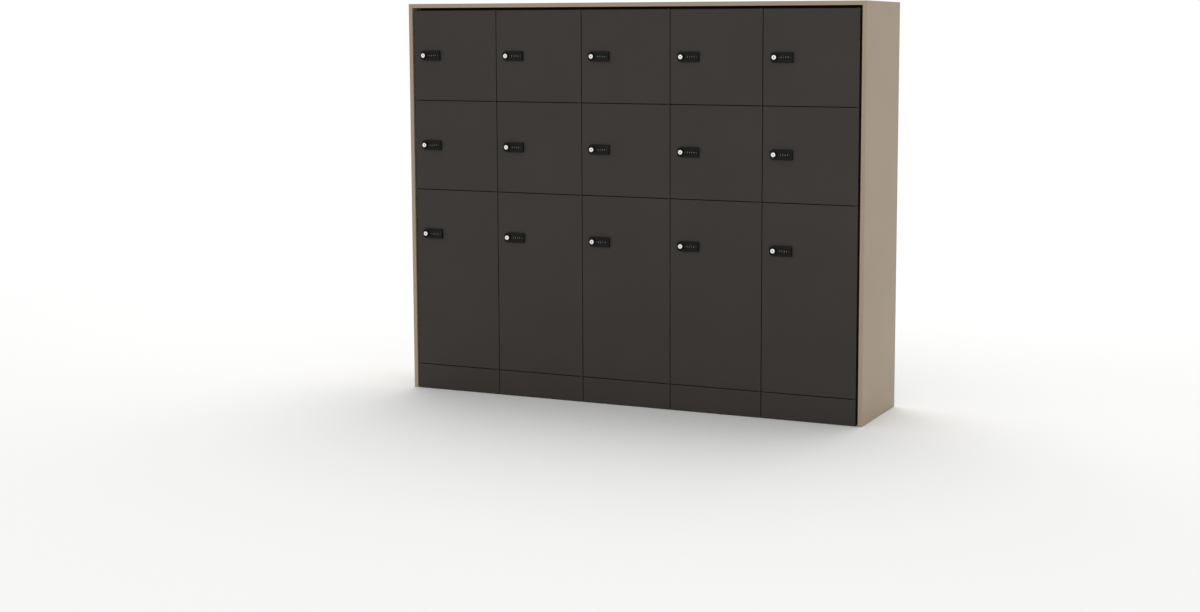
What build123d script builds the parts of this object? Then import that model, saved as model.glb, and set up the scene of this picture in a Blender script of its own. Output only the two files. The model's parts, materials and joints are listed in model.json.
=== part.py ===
from build123d import *
from math import sqrt
import os

# Bank of steel lockers in a boarded surround: five columns of three doors, each with a combination lock.
# Millimetres. +Z is up and the doors face -Y. The origin is on the floor, in the middle of the overall box.

# Columns and rows of lockers
COLUMN_COUNT = 5
COLUMN_WIDTH = 400.0  # one steel module, seam to seam
ROW_HEIGHT = 383.0  # one small door, seam to seam
DOOR_ROWS = (1, 1, 2)  # door heights from the top down, in small rows
PLINTH_HEIGHT = 108.0  # floor to the seam above the plinth panel
SEAM = 3.0  # gap between neighbouring doors
PLINTH_CLEARANCE = 1.0  # plinth panel to the floor

# Boarded surround
BOARD = 17.0
SURROUND_DEPTH = 441.0
SIDE_GAP = 8.7  # board to the bank of modules
TOP_GAP = 11.0
BOARD_JOINT = 0.4  # between the two top boards
BOARD_EASE = 0.6  # eased long edges of the boards

# Sheet metal
SHEET = 1.0  # module sides, back and shelves
DOOR_SHEET = 1.2
DOOR_DEPTH = 20.0
FOLD_RADIUS = 1.2
DOOR_STANDOFF = 3.0  # back of a closed door to the module's front
MODULE_GAP = 0.5  # between neighbouring modules
POST_WIDTH = 21.0
POST_DEPTH = 10.0
POST_WALL = 1.2
RAIL_HEIGHT = 20.0
BASE_HEIGHT = 12.0  # floor to the base plate

# Pivot hinges
PIVOT_INSET = 8.0  # door's hinged edge to the pin
PIVOT_DEPTH = 6.0  # door's face to the pin
PIN_RADIUS = 2.5
PIN_REACH = 8.0  # pin's end from the middle of the seam
PIN_CLEARANCE = 0.08
HINGE_PLATE = 2.0
HINGE_PLATE_WIDTH = 14.0
HINGE_PLATE_SETBACK = 2.5  # plate's nose behind the door's face
COLLAR_RADIUS = 4.0
COLLAR_GAP = 0.1  # under the door that rests on the collar

# Combination lock, measured from the knob's axis
LOCK_FROM_EDGE = 51.7  # column's edge to the knob's axis
CASE_RIM = 3.7  # case beyond the knob
CASE_LAP = 10.9  # case beyond the housing
CASE_HEIGHT = 41.0
CASE_PROUD = 9.0
CASE_ROUND = 16.0  # corners round the knob
CASE_CORNER = 2.5
CASE_EASE = 1.2
SHAFT_WALL = 7.0  # housing round the knob's shaft
WHEEL_WALL = 3.8  # housing beside the last wheel
WHEEL_COVER = 2.6  # housing above and below the wheels
HOUSING_DEPTH = 33.0
HOUSING_CLEARANCE = 0.5
CLAMP_THICKNESS = 2.0
CLAMP_MARGIN = 6.0

WHEEL_COUNT = 4
WHEEL_PITCH = 10.0
WHEEL_WIDTH = 7.0
WHEEL_RADIUS = 11.0
WHEEL_PROUD = 1.3  # beyond the case's face
WHEEL_MIDDLE = 43.3  # knob's axis to the middle of the wheels
WHEEL_CLEARANCE = 0.4
WHEEL_EDGE = 0.5
AXLE_RADIUS = 1.5
AXLE_SEAT = 2.6  # in the housing beside the wheels
AXLE_CLEARANCE = 0.05

KNOB_RADIUS = 14.0
KNOB_PROUD = 15.0
KNOB_GAP = 0.3  # behind the knob
KNOB_NOTCHES = 12
KNOB_NOTCH_RADIUS = 1.2
KNOB_EASE = 1.0
CORE_RADIUS = 9.0
CORE_PROUD = 17.0
CORE_SEAT = 11.0
CORE_EASE = 0.8
KEYHOLE_RADIUS = 2.3
KEYHOLE_SLOT = 7.5
KEYHOLE_SLOT_WIDTH = 1.3
KEYHOLE_DEPTH = 4.0
SHAFT_RADIUS = 6.0
SHAFT_CLEARANCE = 0.08
CAM_GAP = 1.5  # back of a door post to the cam
CAM_THICKNESS = 2.5
CAM_LENGTH = 42.0
CAM_WIDTH = 16.0
CAM_STUD_RADIUS = 4.0
CAM_STUD_CLEARANCE = 0.1
NUT_RADIUS = 7.5  # across its corners
NUT_THICKNESS = 4.5
STUD_TAIL = 1.5

# Levelling feet, packing strips and screws
FOOT_RADIUS = 16.0
FOOT_PAD = 6.0
FOOT_EASE = 2.0
FOOT_STUD_RADIUS = 4.0
FOOT_STUD_TIP = 1.0
FOOT_STUD_CLEARANCE = 0.2
FOOT_STUD_TOP = 34.0
FOOT_NUT_THICKNESS = 6.5
FOOT_LOCK_NUT = 4.0  # thickness of the nut under the base plate
FOOT_INSET = 45.0
STRIP_WIDTH = 50.0
STRIP_INSET = 40.0  # module's front or back to a strip
SCREW_RADIUS = 2.1
SCREW_HEAD_RADIUS = 4.5
SCREW_HEAD = 2.2
SCREW_HEAD_ROUND = SCREW_HEAD / 3
SCREW_TIP = SCREW_RADIUS / 2
SCREW_RECESS_WIDTH = 1.05
SCREW_RECESS_DEPTH = 1.1
SCREW_BITE = 12.0  # into the board
SCREW_CLEARANCE = 0.1
SCREW_HEIGHTS = (250.0, 850.0, 1450.0)

# Spring clips behind the plinth panels
CLIP_WIDTH = POST_WIDTH / 2
CLIP_HEIGHT = 20.0

THROUGH = 4  # a cutter's length in thicknesses of what it goes through

# Places worked out from the sizes above
BANK_WIDTH = COLUMN_COUNT * COLUMN_WIDTH
WIDTH = BANK_WIDTH + 2 * (SIDE_GAP + BOARD)
BANK_TOP = PLINTH_HEIGHT + sum(DOOR_ROWS) * ROW_HEIGHT
HEIGHT = BANK_TOP + TOP_GAP + BOARD
FRONT = (CORE_PROUD - SURROUND_DEPTH) / 2  # plane of the door faces
BACK = FRONT + SURROUND_DEPTH
BANK_LEFT = -BANK_WIDTH / 2
MODULE_FRONT = FRONT + DOOR_DEPTH + DOOR_STANDOFF
MODULE_DEPTH = BACK - MODULE_FRONT
MODULE_WIDTH = COLUMN_WIDTH - MODULE_GAP
COLUMN_LEFTS = [BANK_LEFT + column * COLUMN_WIDTH for column in range(COLUMN_COUNT)]
# Seam levels from the top down: above row 1, then under each row
SEAM_LEVELS = [BANK_TOP - ROW_HEIGHT * sum(DOOR_ROWS[:row]) for row in range(len(DOOR_ROWS) + 1)]
PIVOT_X = COLUMN_WIDTH - SEAM / 2 - PIVOT_INSET
PIVOT_Y = FRONT + PIVOT_DEPTH
CAM_FRONT = DOOR_DEPTH + DOOR_STANDOFF + POST_DEPTH + CAM_GAP
CASE_LEFT = KNOB_RADIUS + CASE_RIM
WHEEL_ROW = (WHEEL_COUNT - 1) * WHEEL_PITCH + WHEEL_WIDTH + 2 * WHEEL_CLEARANCE
HOUSING_LEFT = SHAFT_RADIUS + SHAFT_WALL
HOUSING_RIGHT = WHEEL_MIDDLE + WHEEL_ROW / 2 + WHEEL_WALL
HOUSING_HEIGHT = 2 * (WHEEL_RADIUS + WHEEL_CLEARANCE + WHEEL_COVER)
CASE_RIGHT = HOUSING_RIGHT + CASE_LAP
WHEEL_AXIS = WHEEL_RADIUS - WHEEL_PROUD - CASE_PROUD  # behind the door's face
WHEEL_XS = [WHEEL_MIDDLE + (i - (WHEEL_COUNT - 1) / 2) * WHEEL_PITCH for i in range(WHEEL_COUNT)]
STRIP_YS = (MODULE_FRONT + STRIP_INSET + STRIP_WIDTH / 2, BACK - STRIP_INSET - STRIP_WIDTH / 2)
DIAL_DOOR = (1, COLUMN_COUNT)  # the lock whose wheels are nodes of their own


def block(x, y, z):
    """A plain rectangular piece between pairs of coordinates."""
    with BuildPart() as piece:
        with Locations(((x[0] + x[1]) / 2, (y[0] + y[1]) / 2, (z[0] + z[1]) / 2)):
            Box(x[1] - x[0], y[1] - y[0], z[1] - z[0])
    return piece.part


def group(name, pieces):
    """Separate solids that share one node."""
    solids = [solid for piece in pieces for solid in piece.solids()]
    return Compound(label=name, children=solids)


def placed(piece, x, y, z):
    """A copy of a piece, moved."""
    return piece.moved(Location((x, y, z)))


# Surround: two side boards that stand on the floor, with two top boards between them


def screw_hole(radius, depth):
    """Cutter for a screw's hole, from the origin along +Z."""
    with BuildPart() as cutter:
        Cylinder(radius, depth, align=(Align.CENTER, Align.CENTER, Align.MIN))
    return cutter.part


def drilled(piece, places):
    """A piece with a hole at each of these places, whose +Z runs into the piece."""
    depth = THROUGH * (BOARD + SIDE_GAP + TOP_GAP)
    cutter = screw_hole(SCREW_RADIUS + SCREW_CLEARANCE, depth)
    with BuildPart() as done:
        add(piece)
        for place in places:
            add(cutter.moved(place), mode=Mode.SUBTRACT)
    return done.part


def side_screw_places(side):
    """Screw heads on the inside of the outer module's wall; side is -1 for the left and 1 for the right."""
    x = side * (BANK_WIDTH / 2 - MODULE_GAP / 2 - SHEET)
    turn = (0, 90 * side, 0)
    return [Location((x, y, z), turn) for y in STRIP_YS for z in SCREW_HEIGHTS]


def top_screw_places():
    """Screw heads under each module's top sheet."""
    z = BANK_TOP - SHEET
    return [Location((left + COLUMN_WIDTH / 2, y, z)) for left in COLUMN_LEFTS for y in STRIP_YS]


def board(x, y, z, places, bite):
    """A board with its four long front and back edges eased, and blind screw holes from its inner face."""
    with BuildPart() as piece:
        add(block(x, y, z))
        long_axis = Axis.Z if (z[1] - z[0]) > (x[1] - x[0]) else Axis.X
        fillet(piece.edges().filter_by(long_axis), BOARD_EASE)
        cutter = screw_hole(SCREW_RADIUS + SCREW_CLEARANCE, bite)
        for place in places:
            add(cutter.moved(place), mode=Mode.SUBTRACT)
    return piece.part


side_hole_depth = SHEET + MODULE_GAP / 2 + SIDE_GAP + SCREW_BITE + SCREW_CLEARANCE
top_hole_depth = SHEET + TOP_GAP + SCREW_BITE + SCREW_CLEARANCE
inner_half = WIDTH / 2 - BOARD

side_panel_left = board(
    (-WIDTH / 2, -inner_half), (FRONT, BACK), (0, HEIGHT), side_screw_places(-1), side_hole_depth
)
side_panel_right = board(
    (inner_half, WIDTH / 2), (FRONT, BACK), (0, HEIGHT), side_screw_places(1), side_hole_depth
)
top_joint = BANK_LEFT + COLUMN_WIDTH
top_level = (HEIGHT - BOARD, HEIGHT)
top_places = top_screw_places()
top_panel_short = board(
    (-inner_half, top_joint - BOARD_JOINT / 2), (FRONT, BACK), top_level, top_places, top_hole_depth
)
top_panel_long = board(
    (top_joint + BOARD_JOINT / 2, inner_half), (FRONT, BACK), top_level, top_places, top_hole_depth
)

# Packing strips carry the boards on the modules
bank_inner = BANK_WIDTH / 2 - MODULE_GAP / 2
strips = []
for strip_y in STRIP_YS:
    span = (strip_y - STRIP_WIDTH / 2, strip_y + STRIP_WIDTH / 2)
    strips.append(drilled(block((-bank_inner, bank_inner), span, (BANK_TOP, HEIGHT - BOARD)), top_places))
    for side in (-1, 1):
        faces = sorted((side * bank_inner, side * inner_half))
        upright = block(faces, span, (BASE_HEIGHT, BANK_TOP))
        strips.append(drilled(upright, side_screw_places(side)))

# Screws from inside the modules into the boards


def screw(length):
    """Pan-head screw, its head below the origin and its shank along +Z."""
    with BuildPart() as piece:
        Cylinder(SCREW_HEAD_RADIUS, SCREW_HEAD, align=(Align.CENTER, Align.CENTER, Align.MAX))
        fillet(piece.edges().sort_by(Axis.Z)[0], SCREW_HEAD_ROUND)
        Cylinder(SCREW_RADIUS, length, align=(Align.CENTER, Align.CENTER, Align.MIN))
        chamfer(piece.edges().sort_by(Axis.Z)[-1], SCREW_TIP)
        with BuildSketch(Plane.XY.offset(-SCREW_HEAD)):
            Rectangle(SCREW_HEAD_RADIUS, SCREW_RECESS_WIDTH)
            Rectangle(SCREW_RECESS_WIDTH, SCREW_HEAD_RADIUS)
        extrude(amount=SCREW_RECESS_DEPTH, mode=Mode.SUBTRACT)
    return piece.part


side_screw = screw(side_hole_depth - SCREW_CLEARANCE)
top_screw = screw(top_hole_depth - SCREW_CLEARANCE)
screws = [top_screw.moved(place) for place in top_places]
for side in (-1, 1):
    screws += [side_screw.moved(place) for place in side_screw_places(side)]

# Steel modules


def tube(x, y, z, axis):
    """Rectangular tube between pairs of coordinates, open along the given axis."""
    sizes = [x[1] - x[0], y[1] - y[0], z[1] - z[0]]
    run = (Axis.X, Axis.Y, Axis.Z).index(axis)
    bore = [size if i == run else size - 2 * POST_WALL for i, size in enumerate(sizes)]
    with BuildPart() as piece:
        with Locations(((x[0] + x[1]) / 2, (y[0] + y[1]) / 2, (z[0] + z[1]) / 2)):
            Box(*sizes)
            Box(*bore, mode=Mode.SUBTRACT)
    return piece.part


def module_walls(left, first, last):
    """Two sides, the back and two door posts of one module."""
    outer = (left + MODULE_GAP / 2, left + COLUMN_WIDTH - MODULE_GAP / 2)
    inner = (outer[0] + SHEET, outer[1] - SHEET)
    depth = (MODULE_FRONT, BACK)
    height = (BASE_HEIGHT, BANK_TOP)
    left_side = block((outer[0], inner[0]), depth, height)
    right_side = block((inner[1], outer[1]), depth, height)
    if first:
        left_side = drilled(left_side, side_screw_places(-1))
    if last:
        right_side = drilled(right_side, side_screw_places(1))
    post_y = (MODULE_FRONT, MODULE_FRONT + POST_DEPTH)
    return [
        left_side,
        right_side,
        block(inner, (BACK - SHEET, BACK), height),
        tube((inner[0], inner[0] + POST_WIDTH), post_y, height, Axis.Z),
        tube((inner[1] - POST_WIDTH, inner[1]), post_y, height, Axis.Z),
    ]


def module_shelves(left):
    """Top, shelves and floor of one module, a rail under the front of each, and the base plate."""
    inner = (left + MODULE_GAP / 2 + SHEET, left + COLUMN_WIDTH - MODULE_GAP / 2 - SHEET)
    between_posts = (inner[0] + POST_WIDTH, inner[1] - POST_WIDTH)
    behind_posts = (MODULE_FRONT + POST_DEPTH, BACK - SHEET)
    rail_y = (MODULE_FRONT, MODULE_FRONT + POST_DEPTH)
    pieces = []
    for level in SEAM_LEVELS:
        sheet = block(inner, behind_posts, (level - SHEET, level))
        pieces.append(drilled(sheet, top_places) if level == BANK_TOP else sheet)
        pieces.append(tube(between_posts, rail_y, (level - RAIL_HEIGHT, level), Axis.X))
    with BuildPart() as base:
        add(block(inner, behind_posts, (BASE_HEIGHT, BASE_HEIGHT + SHEET)))
        with Locations(*[(x, y, 0) for x, y in foot_places(left)]):
            Cylinder(FOOT_STUD_RADIUS + FOOT_STUD_CLEARANCE, THROUGH * BASE_HEIGHT, mode=Mode.SUBTRACT)
    pieces.append(base.part)
    return pieces


def foot_places(left):
    """Where one module's four feet stand."""
    xs = (left + FOOT_INSET, left + COLUMN_WIDTH - FOOT_INSET)
    ys = (MODULE_FRONT + FOOT_INSET, BACK - FOOT_INSET)
    return [(x, y) for x in xs for y in ys]


walls = []
shelves = []
for index, column_left in enumerate(COLUMN_LEFTS):
    walls += module_walls(column_left, index == 0, index == COLUMN_COUNT - 1)
    shelves += module_shelves(column_left)

# Levelling feet: a pad and its stud, with a lock nut on the base plate

with BuildPart() as foot:
    Cylinder(FOOT_RADIUS, FOOT_PAD, align=(Align.CENTER, Align.CENTER, Align.MIN))
    fillet(foot.edges().sort_by(Axis.Z)[-1], FOOT_EASE)
    Cylinder(FOOT_STUD_RADIUS, FOOT_STUD_TOP, align=(Align.CENTER, Align.CENTER, Align.MIN))
    chamfer(foot.edges().sort_by(Axis.Z)[-1], FOOT_STUD_TIP)

with BuildPart() as foot_nuts:
    upper_nut = (BASE_HEIGHT + SHEET, FOOT_NUT_THICKNESS)
    lower_nut = (BASE_HEIGHT - FOOT_LOCK_NUT, FOOT_LOCK_NUT)
    for nut_level, nut_height in (upper_nut, lower_nut):
        with BuildSketch(Plane.XY.offset(nut_level)):
            RegularPolygon(NUT_RADIUS, 6)
            Circle(FOOT_STUD_RADIUS, mode=Mode.SUBTRACT)
        extrude(amount=nut_height)

feet = []
for column_left in COLUMN_LEFTS:
    for foot_x, foot_y in foot_places(column_left):
        feet.append(placed(foot.part, foot_x, foot_y, 0))
        feet.append(placed(foot_nuts.part, foot_x, foot_y, 0))

# Folded pans: the doors and the plinth panels


def pan(height):
    """Folded steel pan one column wide, open at the back, its face on y = 0."""
    width = COLUMN_WIDTH - SEAM
    with BuildPart() as piece:
        with Locations((COLUMN_WIDTH / 2, DOOR_DEPTH / 2, height / 2)):
            Box(width, DOOR_DEPTH, height)
        fillet(piece.edges().filter_by(Axis.Z).group_by(Axis.Y)[0], FOLD_RADIUS)
        fillet(piece.edges().filter_by(Axis.X).group_by(Axis.Y)[0], FOLD_RADIUS)
        with Locations((COLUMN_WIDTH / 2, DOOR_SHEET + DOOR_DEPTH / 2, height / 2)):
            Box(width - 2 * DOOR_SHEET, DOOR_DEPTH, height - 2 * DOOR_SHEET, mode=Mode.SUBTRACT)
    return piece.part


def door(rows):
    """Door this many small rows high: an outer pan with a welded liner. Its origin is its column's lower left seam."""
    height = rows * ROW_HEIGHT - SEAM
    lock_z = rows * ROW_HEIGHT - ROW_HEIGHT / 2
    cut_width = HOUSING_LEFT + HOUSING_RIGHT + 2 * HOUSING_CLEARANCE
    cut_x = LOCK_FROM_EDGE + (HOUSING_RIGHT - HOUSING_LEFT) / 2
    cut_height = HOUSING_HEIGHT + 2 * HOUSING_CLEARANCE
    with BuildPart() as outer:
        add(placed(pan(height), 0, 0, SEAM / 2))
        with Locations((cut_x, 0, lock_z)):
            Box(cut_width, THROUGH * DOOR_SHEET, cut_height, mode=Mode.SUBTRACT)
        with Locations((PIVOT_X, PIVOT_DEPTH, rows * ROW_HEIGHT / 2)):
            Cylinder(PIN_RADIUS + PIN_CLEARANCE, rows * ROW_HEIGHT, mode=Mode.SUBTRACT)
    with BuildPart() as liner:
        with Locations((COLUMN_WIDTH / 2, DOOR_DEPTH - SHEET / 2, rows * ROW_HEIGHT / 2)):
            Box(COLUMN_WIDTH - SEAM - 2 * DOOR_SHEET, SHEET, height - 2 * DOOR_SHEET)
        with Locations((cut_x, DOOR_DEPTH, lock_z)):
            Box(cut_width, THROUGH * SHEET, cut_height, mode=Mode.SUBTRACT)
    return [outer.part, liner.part]


plinth_panel = pan(PLINTH_HEIGHT - SEAM / 2 - PLINTH_CLEARANCE)
with BuildPart() as plinth_clip:  # spring clip from the pan to the post behind it
    clip_depth = DOOR_DEPTH + DOOR_STANDOFF - DOOR_SHEET
    with Locations((POST_WIDTH / 2, DOOR_SHEET + clip_depth / 2, 0)):
        Box(CLIP_WIDTH, clip_depth, CLIP_HEIGHT)
clip_xs = (MODULE_GAP + SHEET, COLUMN_WIDTH - MODULE_GAP - SHEET - POST_WIDTH)
plinths = []
for column_left in COLUMN_LEFTS:
    plinths.append(placed(plinth_panel, column_left, FRONT, PLINTH_CLEARANCE))
    plinths += [placed(plinth_clip.part, column_left + x, FRONT, PLINTH_HEIGHT / 2) for x in clip_xs]

# Pivot hinges: a plate in each seam, welded to the door post, with a pin through it

with BuildPart() as hinge_plate:
    plate_length = DOOR_DEPTH + DOOR_STANDOFF - HINGE_PLATE_SETBACK
    with Locations((0, HINGE_PLATE_SETBACK + plate_length / 2, 0)):
        Box(HINGE_PLATE_WIDTH, plate_length, HINGE_PLATE)
    fillet(hinge_plate.edges().filter_by(Axis.Z).group_by(Axis.Y)[0], HINGE_PLATE_SETBACK)
    with Locations((0, PIVOT_DEPTH, 0)):
        Cylinder(PIN_RADIUS, 2 * HINGE_PLATE, mode=Mode.SUBTRACT)


def hinge_pin(up, down):
    """Pin with a collar that carries the door above; up and down say which doors it serves."""
    top = PIN_REACH if up else HINGE_PLATE / 2
    bottom = -PIN_REACH if down else -HINGE_PLATE / 2
    with BuildPart() as pin:
        with Locations((0, PIVOT_DEPTH, bottom)):
            Cylinder(PIN_RADIUS, top - bottom, align=(Align.CENTER, Align.CENTER, Align.MIN))
        if up:
            with Locations((0, PIVOT_DEPTH, HINGE_PLATE / 2)):
                collar = (SEAM - HINGE_PLATE) / 2 - COLLAR_GAP
                Cylinder(COLLAR_RADIUS, collar, align=(Align.CENTER, Align.CENTER, Align.MIN))
    return pin.part


hinges = []
for column_left in COLUMN_LEFTS:
    for level in SEAM_LEVELS:
        pin = hinge_pin(level < BANK_TOP, level > PLINTH_HEIGHT)
        hinges += [placed(piece, column_left + PIVOT_X, FRONT, level) for piece in (hinge_plate.part, pin)]

# Combination lock, its origin on the knob's axis in the plane of the door's face

with BuildPart() as lock_case:
    case_middle = (CASE_RIGHT - CASE_LEFT) / 2
    with BuildSketch(Plane.XZ) as case_outline:
        with Locations((case_middle, 0)):
            Rectangle(CASE_LEFT + CASE_RIGHT, CASE_HEIGHT)
        fillet(case_outline.vertices().group_by(Axis.X)[0], CASE_ROUND)
        fillet(case_outline.vertices().group_by(Axis.X)[-1], CASE_CORNER)
    extrude(amount=CASE_PROUD)
    fillet(lock_case.faces().sort_by(Axis.Y)[0].edges(), CASE_EASE)
    with Locations(((HOUSING_RIGHT - HOUSING_LEFT) / 2, HOUSING_DEPTH / 2, 0)):
        Box(HOUSING_LEFT + HOUSING_RIGHT, HOUSING_DEPTH, HOUSING_HEIGHT)
    along_y = (90, 0, 0)
    along_x = (0, 90, 0)
    with Locations((0, HOUSING_DEPTH / 2, 0)):
        Cylinder(
            SHAFT_RADIUS + SHAFT_CLEARANCE,
            THROUGH * HOUSING_DEPTH,
            rotation=along_y,
            mode=Mode.SUBTRACT,
        )
    with Locations(*[(x, WHEEL_AXIS, 0) for x in WHEEL_XS]):
        Cylinder(
            WHEEL_RADIUS + WHEEL_CLEARANCE,
            WHEEL_WIDTH + 2 * WHEEL_CLEARANCE,
            rotation=along_x,
            mode=Mode.SUBTRACT,
        )
    axle_length = WHEEL_ROW + 2 * AXLE_SEAT
    with Locations((WHEEL_MIDDLE, WHEEL_AXIS, 0)):
        Cylinder(AXLE_RADIUS, axle_length, rotation=along_x, mode=Mode.SUBTRACT)

with BuildPart() as wheel_axle:
    with Locations((WHEEL_MIDDLE, WHEEL_AXIS, 0)):
        Cylinder(AXLE_RADIUS, axle_length, rotation=along_x)

with BuildPart() as number_wheel:
    Cylinder(WHEEL_RADIUS, WHEEL_WIDTH, rotation=along_x)
    chamfer(number_wheel.edges(), WHEEL_EDGE)
    Cylinder(AXLE_RADIUS + AXLE_CLEARANCE, 2 * WHEEL_WIDTH, rotation=along_x, mode=Mode.SUBTRACT)

with BuildPart() as lock_clamp:  # plate behind the door that holds the case to it
    clamp_width = HOUSING_LEFT + HOUSING_RIGHT + 2 * CLAMP_MARGIN
    with Locations(((HOUSING_RIGHT - HOUSING_LEFT) / 2, DOOR_DEPTH + CLAMP_THICKNESS / 2, 0)):
        Box(clamp_width, CLAMP_THICKNESS, HOUSING_HEIGHT + 2 * CLAMP_MARGIN)
        Box(HOUSING_LEFT + HOUSING_RIGHT, 2 * CLAMP_THICKNESS, HOUSING_HEIGHT, mode=Mode.SUBTRACT)

with BuildPart() as lock_knob:
    knob_back = CASE_PROUD + KNOB_GAP
    with BuildSketch(Plane.XZ.offset(knob_back)):
        Circle(KNOB_RADIUS)
        with PolarLocations(KNOB_RADIUS, KNOB_NOTCHES):
            Circle(KNOB_NOTCH_RADIUS, mode=Mode.SUBTRACT)
    extrude(amount=KNOB_PROUD - knob_back)
    chamfer(lock_knob.faces().sort_by(Axis.Y)[0].edges(), KNOB_EASE / 2)
    with BuildSketch(Plane.XZ.offset(CORE_SEAT)):
        Circle(CORE_RADIUS)
    extrude(amount=KNOB_PROUD, mode=Mode.SUBTRACT)
    with BuildSketch(Plane.XZ.offset(knob_back)):
        Circle(SHAFT_RADIUS)
    extrude(amount=-(knob_back + CAM_FRONT))
    with BuildSketch(Plane.XZ.offset(-CAM_FRONT)):
        Circle(CAM_STUD_RADIUS)
    extrude(amount=-(CAM_THICKNESS + NUT_THICKNESS + STUD_TAIL))

with BuildPart() as key_core:
    with BuildSketch(Plane.XZ.offset(CORE_SEAT)):
        Circle(CORE_RADIUS)
    extrude(amount=CORE_PROUD - CORE_SEAT)
    chamfer(key_core.faces().sort_by(Axis.Y)[0].edges(), CORE_EASE)
    with BuildSketch(Plane.XZ.offset(CORE_PROUD)):
        Circle(KEYHOLE_RADIUS)
        Rectangle(KEYHOLE_SLOT_WIDTH, KEYHOLE_SLOT)
    extrude(amount=-KEYHOLE_DEPTH, mode=Mode.SUBTRACT)

with BuildPart() as cam:  # hangs down when the lock is open, and turns behind the door post to lock
    with BuildSketch(Plane.XZ.offset(-CAM_FRONT)):
        with Locations((0, (CAM_WIDTH / 2 - CAM_LENGTH) / 2)):
            SlotOverall(CAM_LENGTH + CAM_WIDTH / 2, CAM_WIDTH, rotation=90)
        Circle(CAM_STUD_RADIUS + CAM_STUD_CLEARANCE, mode=Mode.SUBTRACT)
    extrude(amount=-CAM_THICKNESS)

with BuildPart() as cam_nut:
    with BuildSketch(Plane.XZ.offset(-(CAM_FRONT + CAM_THICKNESS))):
        RegularPolygon(NUT_RADIUS, 6)
        Circle(CAM_STUD_RADIUS, mode=Mode.SUBTRACT)
    extrude(amount=-NUT_THICKNESS)

wheels = [placed(number_wheel.part, x, WHEEL_AXIS, 0) for x in WHEEL_XS]
lock_pieces = [lock_case.part, wheel_axle.part, lock_clamp.part]
knob_pieces = [lock_knob.part, key_core.part, cam.part, cam_nut.part]


def lock_place(row, column):
    """The lock's origin on the door in this row and column, both counted from 1."""
    return (
        COLUMN_LEFTS[column - 1] + LOCK_FROM_EDGE,
        FRONT,
        SEAM_LEVELS[row - 1] - ROW_HEIGHT / 2,
    )


# Every node of the finished cabinet

nodes = [
    group("side_panel_left", [side_panel_left]),
    group("side_panel_right", [side_panel_right]),
    group("top_panel_short", [top_panel_short]),
    group("top_panel_long", [top_panel_long]),
    group("packing_strips", strips),
    group("cladding_screws", screws),
    group("carcass_walls", walls),
    group("carcass_shelves", shelves),
    group("levelling_feet", feet),
    group("plinth_panels", plinths),
    group("pivot_hinges", hinges),
]
for row, rows in enumerate(DOOR_ROWS, start=1):
    door_pieces = door(rows)
    for column, column_left in enumerate(COLUMN_LEFTS, start=1):
        mark = f"r{row}c{column}"
        at = lock_place(row, column)
        leaf = [placed(piece, column_left, FRONT, SEAM_LEVELS[row]) for piece in door_pieces]
        case = [placed(piece, *at) for piece in lock_pieces]
        turning = [placed(piece, *at) for piece in wheels]
        if (row, column) == DIAL_DOOR:
            nodes += [group(f"number_wheel_{i}", [wheel]) for i, wheel in enumerate(turning, start=1)]
        else:
            case += turning
        nodes += [
            group(f"door_{mark}", leaf),
            group(f"lock_{mark}", case),
            group(f"knob_{mark}", [placed(piece, *at) for piece in knob_pieces]),
        ]

os.makedirs("parts", exist_ok=True)
for node in nodes:
    export_step(node, f"parts/{node.label}.step")

sweep = sqrt(PIVOT_INSET**2 + PIVOT_DEPTH**2) - PIVOT_INSET
print(f"overall {WIDTH:.1f} x {CORE_PROUD + SURROUND_DEPTH:.1f} x {HEIGHT:.1f} mm, {len(nodes)} nodes")
print(f"hinged edge swings {sweep:.2f} mm into a seam of {SEAM:.2f} mm")
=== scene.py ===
"""Dresses a bank of steel lockers in a boarded surround, and sets it on a plain pale stage."""

import json
import math

import bmesh
import bpy
from bpy.props import FloatProperty, FloatVectorProperty, IntProperty, PointerProperty
from mathutils import Matrix, Vector

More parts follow.
